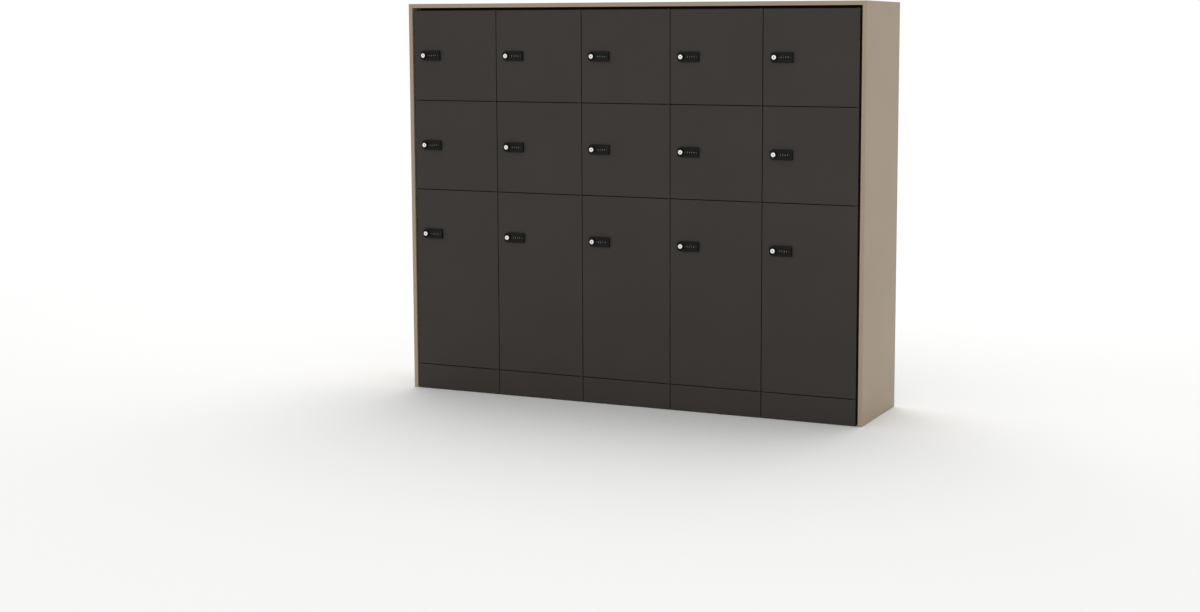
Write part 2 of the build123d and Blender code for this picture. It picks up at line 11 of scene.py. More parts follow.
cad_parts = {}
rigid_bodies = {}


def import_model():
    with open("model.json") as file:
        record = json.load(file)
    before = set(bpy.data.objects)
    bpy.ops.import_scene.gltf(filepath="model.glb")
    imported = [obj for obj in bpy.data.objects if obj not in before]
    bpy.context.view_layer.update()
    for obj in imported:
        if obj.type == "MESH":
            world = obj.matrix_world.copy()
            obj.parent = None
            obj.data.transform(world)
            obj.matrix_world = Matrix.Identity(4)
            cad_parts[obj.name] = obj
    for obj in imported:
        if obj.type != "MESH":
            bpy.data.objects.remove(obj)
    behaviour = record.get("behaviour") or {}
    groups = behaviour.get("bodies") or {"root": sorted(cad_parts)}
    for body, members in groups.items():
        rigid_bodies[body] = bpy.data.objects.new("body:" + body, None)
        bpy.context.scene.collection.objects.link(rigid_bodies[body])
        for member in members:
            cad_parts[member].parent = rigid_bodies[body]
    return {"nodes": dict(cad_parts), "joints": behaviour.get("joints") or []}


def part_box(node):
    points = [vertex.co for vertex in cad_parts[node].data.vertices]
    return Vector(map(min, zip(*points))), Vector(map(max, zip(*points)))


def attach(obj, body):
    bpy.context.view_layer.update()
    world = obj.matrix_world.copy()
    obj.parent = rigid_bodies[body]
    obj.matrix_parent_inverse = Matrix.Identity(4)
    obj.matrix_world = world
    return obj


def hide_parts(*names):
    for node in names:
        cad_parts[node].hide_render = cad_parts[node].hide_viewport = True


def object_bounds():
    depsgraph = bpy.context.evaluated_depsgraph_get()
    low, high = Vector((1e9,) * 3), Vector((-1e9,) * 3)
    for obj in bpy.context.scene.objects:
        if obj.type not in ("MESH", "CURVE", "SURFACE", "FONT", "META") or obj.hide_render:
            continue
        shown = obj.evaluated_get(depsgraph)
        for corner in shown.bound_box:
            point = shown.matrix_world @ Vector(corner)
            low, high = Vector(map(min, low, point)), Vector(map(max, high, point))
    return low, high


bl_info = {
    "name": "Bank of Lockers",
    "version": (1, 0, 0),
    "blender": (4, 5, 0),
    "location": "3D View > Sidebar > Lockers",
    "description": "Finishes, locks and stage for a bank of steel lockers in a boarded surround",
    "category": "Object",
}

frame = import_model()
cad_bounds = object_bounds()

MM = 0.001
SMOOTH_ANGLE = math.radians(35)
# Points nearer than this are one point, in the CAD's meshes and in the numbers' outlines
CAD_WELD = 0.01 * MM
NUMBER_WELD = 0.002 * MM
# The wave texture runs through this many radians in a metre at scale 1
WAVE_RADIANS = 20
# Every piece carries a map of its front view under this name
FRONT_MAP = "face"

# Sides of turned forms, and steps of rounded ones
WHEEL_SIDES = 80
KNOB_SIDES = 72
CORE_SIDES = 96
SCREW_SIDES = 32
PAD_SIDES = 96
STUD_SIDES = 24
CAM_END_STEPS = 16
EASE_STEPS = 2

# The photograph's camera, in the frame of its 1200 by 612 pixels
PHOTO_SIZE = (1200, 612)
FOCAL_PIXELS = 1812.2
PRINCIPAL_POINT = (666.92, 244.364)
CAMERA_PLACE = (3.1601, -6.93638, 1.53368)
CAMERA_YAW = 0.416401
CAMERA_PITCH = -0.114725
SENSOR_WIDTH = 36.0
VIEW_DISTANCE = 200.0

JOINTS = {joint["name"]: joint for joint in frame["joints"]}
MARKS = sorted(name.removeprefix("door_") for name in frame["nodes"] if name.startswith("door_"))
COLUMNS = sum(1 for mark in MARKS if mark.startswith("r1"))
WHEEL_NODES = sorted(name for name in frame["nodes"] if name.startswith("number_wheel_"))
WHEEL_AXES = [Vector(JOINTS[f"{name}_spin"]["pos_m"]) for name in WHEEL_NODES]
DIAL_BODY = JOINTS[f"{WHEEL_NODES[0]}_spin"]["parent"]
DIAL_MARK = DIAL_BODY.removeprefix("door_")


def knob_axis(mark):
    """Where a lock's knob turns, in the plane of its door's face."""
    return Vector(JOINTS[f"knob_{mark}_turn"]["pos_m"])


# Colours and nodes


def linear(colour):
    """An sRGB hex colour as linear RGBA."""
    channels = [int(colour[i : i + 2], 16) / 255 for i in (1, 3, 5)]
    return (*[c / 12.92 if c <= 0.04045 else ((c + 0.055) / 1.055) ** 2.4 for c in channels], 1.0)


def per_metre(millimetres):
    """The texture scale whose features are this far apart."""
    return 1 / (millimetres * MM)


def wave_scale(millimetres):
    """The wave texture's scale whose crests are this far apart."""
    return per_metre(millimetres) * math.tau / WAVE_RADIANS


def add_node(tree, kind, links=(), **settings):
    """A node with its settings and its inputs, each input a value or another node's socket."""
    node = tree.nodes.new(kind)
    for name, value in settings.items():
        setattr(node, name, value)
    for name, value in dict(links).items():
        if isinstance(value, bpy.types.NodeSocket):
            tree.links.new(value, node.inputs[name])
        else:
            node.inputs[name].default_value = value
    return node


def new_material(name, **surface):
    """A material with a principled shader, and the tree and shader to finish it with."""
    material = bpy.data.materials.new(name)
    material.use_nodes = True
    tree = material.node_tree
    shader = tree.nodes["Principled BSDF"]
    for socket, value in surface.items():
        shader.inputs[socket.replace("_", " ")].default_value = value
    return material, tree, shader


def tones(name):
    """The darker and the lighter tone of a finish, as the user's colours have them."""
    colours = bpy.context.scene.locker_colours
    return getattr(colours, f"{name}_dark"), getattr(colours, f"{name}_light")


def vary_surface(tree, shader, tone, colours, relief=None, roughness=None):
    """Runs the shader's colour, height and roughness along patterns that go from 0 to 1.

    The relief is a pattern, its depth in mm and its strength; the roughness is a pattern and two values.
    """
    ramp = add_node(tree, "ShaderNodeValToRGB", {"Fac": tone})
    for stop, colour in zip(ramp.color_ramp.elements, colours):
        stop.color = colour
    tree.links.new(ramp.outputs["Color"], shader.inputs["Base Color"])
    if relief:
        height, depth_mm, strength = relief
        links = {"Height": height, "Strength": strength, "Distance": depth_mm * MM}
        bump = add_node(tree, "ShaderNodeBump", links)
        tree.links.new(bump.outputs["Normal"], shader.inputs["Normal"])
    if roughness:
        pattern, low, high = roughness
        spread = add_node(tree, "ShaderNodeMapRange", {"Value": pattern, "To Min": low, "To Max": high})
        tree.links.new(spread.outputs["Result"], shader.inputs["Roughness"])


def powder_coat(name, gloss):
    """Powder coat on folded sheet steel: dry grains, baked to a soft orange peel with a matt sheen."""
    material, tree, shader = new_material(name, IOR=1.45, Specular_IOR_Level=gloss)
    where = add_node(tree, "ShaderNodeTexCoord").outputs["Object"]
    # Slow drift of the film's tone over a sheet
    drift = add_node(
        tree, "ShaderNodeTexNoise", {"Vector": where, "Scale": per_metre(260), "Detail": 3.0}
    ).outputs["Fac"]
    # Grain of the textured film, coarser than the real 0.3 mm so that it shows
    grain = add_node(
        tree, "ShaderNodeTexNoise", {"Vector": where, "Scale": per_metre(1.6), "Detail": 4.0}
    ).outputs["Fac"]
    # Orange peel, where the film drew together as it melted
    peel = add_node(
        tree, "ShaderNodeTexNoise", {"Vector": where, "Scale": per_metre(6), "Detail": 1.0}
    ).outputs["Fac"]
    height = add_node(tree, "ShaderNodeMix", {"Factor": 0.5, "A": grain, "B": peel}).outputs["Result"]
    relief = (height, 0.05, 0.35)
    vary_surface(tree, shader, drift, tones(name), relief, roughness=(grain, 0.46, 0.6))
    return material


def melamine_board():
    """Melamine paper on chipboard: an even satin taupe, with a fine pearl pressed in by the plate."""
    name = "taupe_melamine"
    material, tree, shader = new_material(name, IOR=1.5, Specular_IOR_Level=0.3)
    where = add_node(tree, "ShaderNodeTexCoord").outputs["Object"]
    cloud = add_node(
        tree, "ShaderNodeTexNoise", {"Vector": where, "Scale": per_metre(420), "Detail": 2.0}
    ).outputs["Fac"]
    # The pearl is drawn at 2 mm where the plate's is 0.5 mm, so that it shows
    pearl = add_node(
        tree, "ShaderNodeTexNoise", {"Vector": where, "Scale": per_metre(2.2), "Detail": 5.0}
    ).outputs["Fac"]
    tone = add_node(tree, "ShaderNodeMix", {"Factor": 0.35, "A": cloud, "B": pearl}).outputs["Result"]
    vary_surface(tree, shader, tone, tones(name), relief=(pearl, 0.04, 0.3), roughness=(pearl, 0.42, 0.56))
    return material


def moulded_nylon():
    """Glass-filled black nylon, moulded in a spark-eroded tool: an even matt grain."""
    name = "black_nylon"
    material, tree, shader = new_material(name, IOR=1.5, Specular_IOR_Level=0.12)
    where = add_node(tree, "ShaderNodeTexCoord").outputs["Object"]
    grain = add_node(
        tree, "ShaderNodeTexNoise", {"Vector": where, "Scale": per_metre(0.7), "Detail": 3.0}
    ).outputs["Fac"]
    vary_surface(tree, shader, grain, tones(name), relief=(grain, 0.03, 0.4), roughness=(grain, 0.38, 0.52))
    return material


def turned_nickel():
    """Satin nickel on a turned brass key core: bright, with fine rings left by the lathe."""
    name = "satin_nickel"
    material, tree, shader = new_material(name, Metallic=1.0)
    front = add_node(tree, "ShaderNodeUVMap", uv_map=FRONT_MAP).outputs["UV"]
    rings = add_node(
        tree,
        "ShaderNodeTexWave",
        {"Vector": front, "Scale": wave_scale(0.314), "Distortion": 0.4, "Detail": 1.0},
        wave_type="RINGS",
        rings_direction="SPHERICAL",
    ).outputs["Fac"]
    vary_surface(tree, shader, rings, tones(name), relief=(rings, 0.01, 0.5), roughness=(rings, 0.24, 0.36))
    return material


def bright_zinc():
    """Zinc plate on pressed and turned steel: a cool metal, clouded by its passivation."""
    name = "bright_zinc"
    material, tree, shader = new_material(name, Metallic=1.0)
    where = add_node(tree, "ShaderNodeTexCoord").outputs["Object"]
    cloud = add_node(
        tree, "ShaderNodeTexNoise", {"Vector": where, "Scale": per_metre(5), "Detail": 4.0}
    ).outputs["Fac"]
    vary_surface(tree, shader, cloud, tones(name), relief=(cloud, 0.02, 0.3), roughness=(cloud, 0.28, 0.5))
    return material


def number_paint():
    """White paint wiped into the numbers of the wheels: chalky, with slightly uneven cover."""
    name = "number_paint"
    material, tree, shader = new_material(name, Roughness=0.6)
    where = add_node(tree, "ShaderNodeTexCoord").outputs["Object"]
    cover = add_node(
        tree, "ShaderNodeTexNoise", {"Vector": where, "Scale": per_metre(0.9), "Detail": 2.0}
    ).outputs["Fac"]
    vary_surface(tree, shader, cover, tones(name))
    return material


def stained_softwood():
    """Sawn spruce, near black as painted shade for the gaps; its growth rings still show faintly."""
    name = "stained_spruce"
    material, tree, shader = new_material(name, Roughness=0.75, Specular_IOR_Level=0.2)
    where = add_node(tree, "ShaderNodeTexCoord").outputs["Object"]
    drawn_out = add_node(tree, "ShaderNodeMapping", {"Vector": where, "Scale": (0.12, 1.0, 0.12)})
    rings = add_node(
        tree,
        "ShaderNodeTexWave",
        {
            "Vector": drawn_out.outputs["Vector"],
            "Scale": wave_scale(5.65),
            "Distortion": 3.0,
            "Detail": 3.0,
        },
        bands_direction="Y",
    ).outputs["Fac"]
    vary_surface(tree, shader, rings, tones(name), relief=(rings, 0.15, 0.5))
    return material


def moulded_foot():
    """Black polyamide foot: moulded smooth, scuffed a little paler where it is handled."""
    name = "black_polyamide"
    material, tree, shader = new_material(name, IOR=1.5)
    where = add_node(tree, "ShaderNodeTexCoord").outputs["Object"]
    scuffs = add_node(
        tree, "ShaderNodeTexNoise", {"Vector": where, "Scale": per_metre(9), "Detail": 6.0}
    ).outputs["Fac"]
    vary_surface(tree, shader, scuffs, tones(name), roughness=(scuffs, 0.35, 0.6))
    return material


def pale_floor(colour, clear, white):
    """Matt studio floor: keeps the shadow near the cabinet and runs out to white, like a paper sweep."""
    material, tree, shader = new_material(
        "pale_floor", Base_Color=colour, Roughness=0.9, Specular_IOR_Level=0.0
    )
    where = add_node(tree, "ShaderNodeTexCoord").outputs["Object"]
    away = add_node(tree, "ShaderNodeVectorMath", {0: where}, operation="LENGTH")
    far = add_node(
        tree,
        "ShaderNodeMapRange",
        {"Value": away.outputs["Value"], "From Min": clear, "From Max": white},
        interpolation_type="SMOOTHSTEP",
    )
    seen = seen_by_eye(tree)
    share = add_node(tree, "ShaderNodeMath", {0: far.outputs["Result"], 1: seen}, operation="MULTIPLY")
    paper = add_node(tree, "ShaderNodeEmission", {"Color": linear("#FFFFFF"), "Strength": 1.0})
    surface = add_node(
        tree, "ShaderNodeMixShader", {0: share.outputs[0], 1: shader.outputs[0], 2: paper.outputs[0]}
    )
    tree.links.new(surface.outputs[0], tree.nodes["Material Output"].inputs["Surface"])
    return material


def seen_by_eye(tree):
    """1 for rays of the camera and of reflections and glass, 0 for light that falls on things."""
    path = add_node(tree, "ShaderNodeLightPath").outputs
    seen = add_node(
        tree, "ShaderNodeMath", {0: path["Is Camera Ray"], 1: path["Is Glossy Ray"]}, operation="MAXIMUM"
    )
    seen = add_node(
        tree, "ShaderNodeMath", {0: seen.outputs[0], 1: path["Is Transmission Ray"]}, operation="MAXIMUM"
    )
    return seen.outputs[0]


MATERIAL_MAKERS = {
    "taupe_melamine": melamine_board,
    "door_coat": lambda: powder_coat("door_coat", gloss=0.26),
    "carcass_coat": lambda: powder_coat("carcass_coat", gloss=0.3),
    "black_nylon": moulded_nylon,
    "satin_nickel": turned_nickel,
    "bright_zinc": bright_zinc,
    "number_paint": number_paint,
    "stained_spruce": stained_softwood,
    "black_polyamide": moulded_foot,
}


def finish(name):
    """A finish by name, made on its first use."""
    return bpy.data.materials.get(name) or MATERIAL_MAKERS[name]()


def coat_node(node, name):
    """Gives a CAD node one finish."""
    obj = frame["nodes"][node]
    obj.data.materials.clear()
    obj.data.materials.append(finish(name))


# Mesh pieces, drawn about a knob's axis: X to the right, Z up, and out of the door along -Y


def lathe(bm, profile, segments, finish_index=0):
    """Turns (radius, out) pairs about Y; a radius may be a function of the angle, and 0 is a pole."""
    rings = []
    for radius, out in profile:
        if radius == 0:
            rings.append([bm.verts.new((0, -out, 0))])
            continue
        ring = []
        for i in range(segments):
            angle = i * math.tau / segments
            reach = radius(angle) if callable(radius) else radius
            ring.append(bm.verts.new((reach * math.sin(angle), -out, reach * math.cos(angle))))
        rings.append(ring)
    if len(rings[0]) > 1 or len(rings[-1]) > 1:
        rings.append(rings[0])
    for low, high in zip(rings, rings[1:]):
        for i in range(segments):
            j = (i + 1) % segments
            corners = [low[i % len(low)], low[j % len(low)], high[j % len(high)], high[i % len(high)]]
            unique = list(dict.fromkeys(corners))
            if len(unique) > 2:
                bm.faces.new(unique).material_index = finish_index


def slab(bm, outline, near, far, ease, finish_index=0):
    """A plate from an (x, z) outline, between two distances out of the door, with its outer edges eased."""
    made = bmesh.new()
    base = made.faces.new([made.verts.new((x, -near, z)) for x, z in outline])
    grown = bmesh.ops.extrude_face_region(made, geom=[base])["geom"]
    tips = [v for v in grown if isinstance(v, bmesh.types.BMVert)]
    bmesh.ops.translate(made, verts=tips, vec=(0, near - far, 0))
    rims = {e for v in tips for e in v.link_edges if all(end in tips for end in e.verts)}
    bmesh.ops.bevel(made, geom=list(rims), offset=ease, segments=EASE_STEPS, affect="EDGES", profile=0.5)
    for face in made.faces:
        face.material_index = finish_index
    bmesh.ops.recalc_face_normals(made, faces=made.faces)
    piece = bpy.data.meshes.new("slab")
    made.to_mesh(piece)
    made.free()
    bm.from_mesh(piece)
    bpy.data.meshes.remove(piece)


def rectangle(low, high):
    """The outline of a rectangle."""
    return [(low[0], low[1]), (high[0], low[1]), (high[0], high[1]), (low[0], high[1])]


def arc(centre, radius, start, end, steps):
    """Points of an arc, from one angle to another in degrees."""
    turns = [math.radians(start + (end - start) * i / steps) for i in range(steps + 1)]
    return [(centre[0] + radius * math.cos(t), centre[1] + radius * math.sin(t)) for t in turns]


def hexagon(radius):
    """The outline of a nut, from its radius over the corners."""
    return arc((0, 0), radius, 0, 300, 5)


def shaded(mesh):
    """Shades a mesh smooth where it is round; edges already marked sharp stay sharp."""
    marked = [edge.index for edge in mesh.edges if edge.use_edge_sharp]
    mesh.shade_smooth()
    mesh.set_sharp_from_angle(angle=SMOOTH_ANGLE)
    for index in marked:
        mesh.edges[index].use_edge_sharp = True
    return mesh


def mesh_from(bm, name, finishes=("black_nylon",), face_outwards=True):
    """A mesh with its finishes, smooth where it is round, its faces turned outwards if asked."""
    if face_outwards:
        bmesh.ops.recalc_face_normals(bm, faces=bm.faces)
    mesh = bpy.data.meshes.new(name)
    bm.to_mesh(mesh)
    bm.free()
    for name_of_finish in finishes:
        mesh.materials.append(finish(name_of_finish))
    return shaded(mesh)


def new_object(name, data):
    """An object in the scene."""
    obj = bpy.data.objects.new(name, data)
    bpy.context.scene.collection.objects.link(obj)
    return obj


def put_in_place(template, name, place):
    """A copy of a template mesh whose own points stand in place."""
    mesh = template.copy()
    mesh.transform(Matrix.Translation(place))
    return new_object(name, mesh)


def joined(name, parts):
    """One mesh from several, each with its own place; finishes keep to their faces."""
    finishes = []
    bm = bmesh.new()
    layer = bm.loops.layers.uv.new(FRONT_MAP)
    for mesh, place in parts:
        shift = [0] * max(1, len(mesh.materials))
        for i, material in enumerate(mesh.materials):
            if material not in finishes:
                finishes.append(material)
            shift[i] = finishes.index(material)
        start = len(bm.faces)
        first = len(bm.verts)
        bm.from_mesh(mesh)
        bm.verts.ensure_lookup_table()
        bm.faces.ensure_lookup_table()
        bmesh.ops.transform(bm, matrix=place, verts=bm.verts[first:])
        for face in bm.faces[start:]:
            face.material_index = shift[min(face.material_index, len(shift) - 1)]
    # The front view about the template's own origin, so that the rings of a key core are centred on it
    for face in bm.faces:
        for loop in face.loops:
            loop[layer].uv = (loop.vert.co.x, loop.vert.co.z)
    mesh = bpy.data.meshes.new(name)
    bm.to_mesh(mesh)
    bm.free()
    for material in finishes:
        mesh.materials.append(material)
    return shaded(mesh)


# Geometry Nodes for what repeats


def repeat_tree(name, around):
    """A tree that repeats a collection's objects: round an axis, or on the points of its own geometry."""
    tree = bpy.data.node_groups.new(name, "GeometryNodeTree")
    face = tree.interface
    face.new_socket("Geometry", in_out="INPUT", socket_type="NodeSocketGeometry")
    face.new_socket("Pattern", in_out="INPUT", socket_type="NodeSocketCollection")
    face.new_socket("Count", in_out="INPUT", socket_type="NodeSocketInt")
    face.new_socket("Material", in_out="INPUT", socket_type="NodeSocketMaterial")
    face.new_socket("Geometry", in_out="OUTPUT", socket_type="NodeSocketGeometry")
    given = add_node(tree, "NodeGroupInput").outputs
    pattern = add_node(
        tree,
        "GeometryNodeCollectionInfo",
        {"Collection": given["Pattern"], "Separate Children": True, "Reset Children": True},
    )
    index = add_node(tree, "GeometryNodeInputIndex").outputs["Index"]
    if around is None:
        points = add_node(tree, "GeometryNodeMeshToPoints", {"Mesh": given["Geometry"]})
        links = {"Points": points.outputs["Points"]}
    else:
        points = add_node(tree, "GeometryNodePoints", {"Count": given["Count"]})
        step = add_node(
            tree, "ShaderNodeMath", {0: math.tau, 1: given["Count"]}, operation="DIVIDE"
        )
        turn = add_node(tree, "ShaderNodeMath", {0: index, 1: step.outputs[0]}, operation="MULTIPLY")
        turned = add_node(tree, "ShaderNodeCombineXYZ", {around: turn.outputs[0]})
        links = {"Points": points.outputs[0], "Rotation": turned.outputs["Vector"]}
    copies = add_node(
        tree,
        "GeometryNodeInstanceOnPoints",
        {
            **links,
            "Instance": pattern.outputs["Instances"],
            "Pick Instance": True,
            "Instance Index": index,
        },
    )
    real = add_node(tree, "GeometryNodeRealizeInstances", {"Geometry": copies.outputs["Instances"]})
    coated = add_node(
        tree,
        "GeometryNodeSetMaterial",
        {"Geometry": real.outputs["Geometry"], "Material": given["Material"]},
    )
    add_node(tree, "NodeGroupOutput", {"Geometry": coated.outputs["Geometry"]})
    return tree


def repeat(tree, name, patterns, count, coat, points=()):
    """The plain mesh that a repeat tree makes from pattern meshes."""
    collection = bpy.data.collections.new(name)
    stands = [bpy.data.objects.new(f"{name}_{i}", mesh) for i, mesh in enumerate(patterns)]
    for stand in stands:
        collection.objects.link(stand)
    seed_mesh = bpy.data.meshes.new(name)
    seed_mesh.from_pydata([tuple(point) for point in points], [], [])
    seed = new_object(name, seed_mesh)
    modifier = seed.modifiers.new("repeat", "NODES")
    modifier.node_group = tree
    values = {"Pattern": collection, "Count": count, "Material": finish(coat)}
    for socket in tree.interface.items_tree:
        if socket.in_out == "INPUT" and socket.name in values:
            modifier[socket.identifier] = values[socket.name]
    seed.update_tag()
    bpy.context.view_layer.update()
    graph = bpy.context.evaluated_depsgraph_get()
    mesh = bpy.data.meshes.new_from_object(seed.evaluated_get(graph))
    bpy.data.objects.remove(seed)
    bpy.data.meshes.remove(seed_mesh)
    for stand in stands:
        bpy.data.objects.remove(stand)
    bpy.data.collections.remove(collection)
    if not mesh.vertices:
        raise RuntimeError(f"{name} came out empty")
    return mesh


# The combination lock

NUMBERS = 10
# A higher power makes the finger notches narrower
NOTCH_POWER = 3
# Stands for a direction of nothing where a length is divided by it
HAIR = 1e-9


def clean(mesh):
    """Takes the doubled points and slivers out of a mesh."""
    bm = bmesh.new()
    bm.from_mesh(mesh)
    bmesh.ops.remove_doubles(bm, verts=bm.verts, dist=NUMBER_WELD)
    bmesh.ops.dissolve_degenerate(bm, edges=bm.edges, dist=NUMBER_WELD)
    bm.to_mesh(mesh)
    bm.free()


def number_wheel(sizes):
    """Wheel with a finger notch between its numbers, the numbers printed on its rim."""

    def rim(angle):
        notch = max(0.0, -math.cos(NUMBERS * angle)) ** NOTCH_POWER
        return sizes.wheel_radius - notch * sizes.wheel_notch

    half = sizes.wheel_width / 2
    edge = sizes.wheel_edge
    side = sizes.wheel_radius - sizes.wheel_notch - edge
    bm = bmesh.new()
    profile = [
        (sizes.axle_radius, -half),
        (side, -half),
        (rim, edge - half),
        (rim, half - edge),
        (side, half),
        (sizes.axle_radius, half),
    ]
    lathe(bm, profile, WHEEL_SIDES)
    wheel = mesh_from(bm, "wheel_body")
    # Stands a flat number up on the front of the rim
    out = sizes.wheel_radius + sizes.digit_proud - sizes.digit_depth / 2
    stand = Matrix.Translation((0, -out, 0)) @ Matrix.Rotation(math.pi / 2, 4, "X")
    digits = []
    for number in range(NUMBERS):
        curve = bpy.data.curves.new(f"digit_{number}", "FONT")
        curve.body = str(number)
        curve.size = sizes.digit_size
        curve.align_x = "CENTER"
        curve.align_y = "CENTER"
        curve.extrude = sizes.digit_depth / 2
        curve.resolution_u = 2
        text = new_object(curve.name, curve)
        bpy.context.view_layer.update()
        mesh = bpy.data.meshes.new_from_object(text)
        bpy.data.objects.remove(text)
        clean(mesh)
        mesh.transform(stand)
        digits.append(mesh)
    around = repeat_tree("numbers_round_wheel", "X")
    printed = repeat(around, "wheel_numbers", digits, NUMBERS, "number_paint")
    to_x = Matrix.Rotation(math.pi / 2, 4, "Z")
    # The rim's notches fall between the numbers once the wheel lies on its axle
    between = Matrix.Rotation(math.pi / 2, 4, "X")
    return joined("number_wheel", [(wheel, between @ to_x), (printed, Matrix.Identity(4))])


def lock_shell():
    """The case, housing, axle and clamp of a lock, its origin on the knob's axis."""
    node = frame["nodes"][f"lock_{DIAL_MARK}"]
    bm = bmesh.new()
    bm.from_mesh(node.data)
    # Where two faces of the solid meet, the edge stays sharp, so that flat faces are shaded flat
    for edge in bm.edges:
        edge.smooth = not edge.is_boundary
    bmesh.ops.remove_doubles(bm, verts=bm.verts, dist=CAD_WELD)
    bmesh.ops.translate(bm, verts=bm.verts, vec=-knob_axis(DIAL_MARK))
    # The faces point outwards already, and turning them would go wrong where the axle touches its seats
    return mesh_from(bm, "lock_shell", face_outwards=False)


def window_frame(sizes):
    """Raised frame round the four wheels, with an index mark at each end."""
    along = [axis.x - knob_axis(DIAL_MARK).x for axis in WHEEL_AXES]
    left = min(along) - sizes.wheel_width / 2 - sizes.window_margin
    right = max(along) + sizes.wheel_width / 2 + sizes.window_margin
    half = sizes.window_height / 2
    rim = sizes.window_rim
    face = sizes.case_proud - sizes.seat
    top = sizes.case_proud + sizes.window_proud
    ease = sizes.window_proud / 3
    bm = bmesh.new()
    # From the back of the frame's outer edge, over its eased face, to the back of its inner edge
    section = [(rim, face), (rim, top - ease), (rim - ease, top), (ease, top), (0, top - ease), (0, face)]
    loops = []
    for grow, out in section:
        outline = rectangle((left - grow, -half - grow), (right + grow, half + grow))
        loops.append([bm.verts.new((x, -out, z)) for x, z in outline])
    for low, high in zip(loops, loops[1:] + loops[:1]):
        for i in range(4):
            bm.faces.new([low[i - 1], low[i], high[i], high[i - 1]])
    mark = sizes.index_mark
    half_mark = mark / 5
    for x in (left - rim - 2 * mark, right + rim + mark):
        bar = rectangle((x, -half_mark), (x + mark, half_mark))
        slab(bm, bar, face, face + 2 * sizes.seat, half_mark / 4, finish_index=1)
    return mesh_from(bm, "window_frame", ("black_nylon", "number_paint"))


def turning_knob(sizes):
    """Black knob with a ribbed edge, on its shaft, with the key core, the cam and the cam's nut."""
    out = sizes.knob_proud
    back = sizes.case_proud + sizes.knob_gap
    root = sizes.knob_radius - sizes.rib_height
    core = sizes.core_radius
    shaft = sizes.shaft_radius
    stud = sizes.stud_radius
    cam_far = sizes.cam_depth + sizes.cam_thickness
    end = cam_far + sizes.nut_thickness + sizes.stud_tail
    ease = sizes.ease
    bm = bmesh.new()
    profile = [
        (0, -end),
        (stud - ease, -end),
        (stud, ease - end),
        (stud, -sizes.cam_depth),
        (shaft, -sizes.cam_depth),
        (shaft, back),
        (root - ease, back),
        (root, back + ease),
        (root, out - 2 * ease),
        (root - ease / 2, out - ease),
        (root - 2 * ease, out),
        (core + 2 * ease, out),
        (core + ease, out - ease / 2),
        (core + ease / 2, out - 2 * ease),
        (0, out - 2 * ease),
    ]
    lathe(bm, profile, KNOB_SIDES)
    body = mesh_from(bm, "knob_body")
    bm = bmesh.new()
    rib = sizes.rib_height
    slab(bm, rectangle((-rib, 0), (rib, rib + ease)), back + ease, out - 2 * ease, ease / 3)
    bmesh.ops.translate(bm, verts=bm.verts, vec=(0, 0, root - ease))
    around = repeat_tree("ribs_round_knob", "Y")
    ribs = repeat(around, "knob_ribs", [mesh_from(bm, "rib")], sizes.rib_count, "black_nylon")
    cam = cam_plate(sizes, cam_far)
    here = Matrix.Identity(4)
    return joined("turning_knob", [(body, here), (ribs, here), (key_core(sizes), here), (cam, here)])


def key_core(sizes):
    """Round key core with a raised rim and a real keyhole."""
    hole = sizes.keyhole_radius
    half_slot = sizes.keyhole_slot / 2
    half_width = sizes.keyhole_width / 2

    def keyhole(angle):
        across = abs(math.sin(angle)) or HAIR
        along = abs(math.cos(angle)) or HAIR
        return max(hole, min(half_width / across, half_slot / along))

    core = sizes.core_radius
    out = sizes.core_proud
    ease = sizes.ease
    bm = bmesh.new()
    profile = [
        (0, sizes.knob_proud - 3 * ease),
        (core, sizes.knob_proud - 3 * ease),
        (core, out - ease),
        (core - ease / 3, out - ease / 3),
        (core - ease, out),
        (core - 3 * ease, out),
        (core - 3.5 * ease, out - ease / 2),
        (keyhole, out - ease / 2),
        (keyhole, out - sizes.keyhole_depth),
        (0, out - sizes.keyhole_depth),
    ]
    lathe(bm, profile, CORE_SIDES)
    return mesh_from(bm, "key_core", ("satin_nickel",))


def cam_plate(sizes, cam_far):
    """Cam that hangs down when the lock is open, and its nut."""
    half = sizes.cam_width / 2
    reach = sizes.cam_length
    bm = bmesh.new()
    upper_end = arc((0, 0), half, 0, 180, CAM_END_STEPS)
    lower_end = arc((0, half - reach), half, 180, 360, CAM_END_STEPS)
    slab(bm, upper_end + lower_end, -cam_far, -sizes.cam_depth, sizes.ease / 2)
    slab(bm, hexagon(sizes.nut_radius), -cam_far - sizes.nut_thickness, -cam_far, sizes.ease / 2)
    return mesh_from(bm, "cam_plate", ("bright_zinc",))


# Screws and feet

# A screw's cross recess, at its arms and between them, as shares of the head's radius
RECESS_ARM = 0.62
RECESS_WAIST = 0.22
RECESS_FLOOR = 0.5
# The head's rounded side, as shares of its radius and height
HEAD_CURVE = ((0.66, 1.0), (0.92, 0.72), (1.0, 0.25), (1.0, 0.0))
SCREW_ROOT = 0.78

# A foot's pad, as shares of its radius and height, and its stud, as shares of its radius
PAD_RIBS = 24
PAD_RIB_DEPTH = 0.02
PAD_BASE = 0.94
PAD_RIM = (0.2, 0.7)
PAD_TOP = 0.8
STUD_SEAT = 0.5
STUD_ROOT = 0.86
STUD_TIP = 0.8


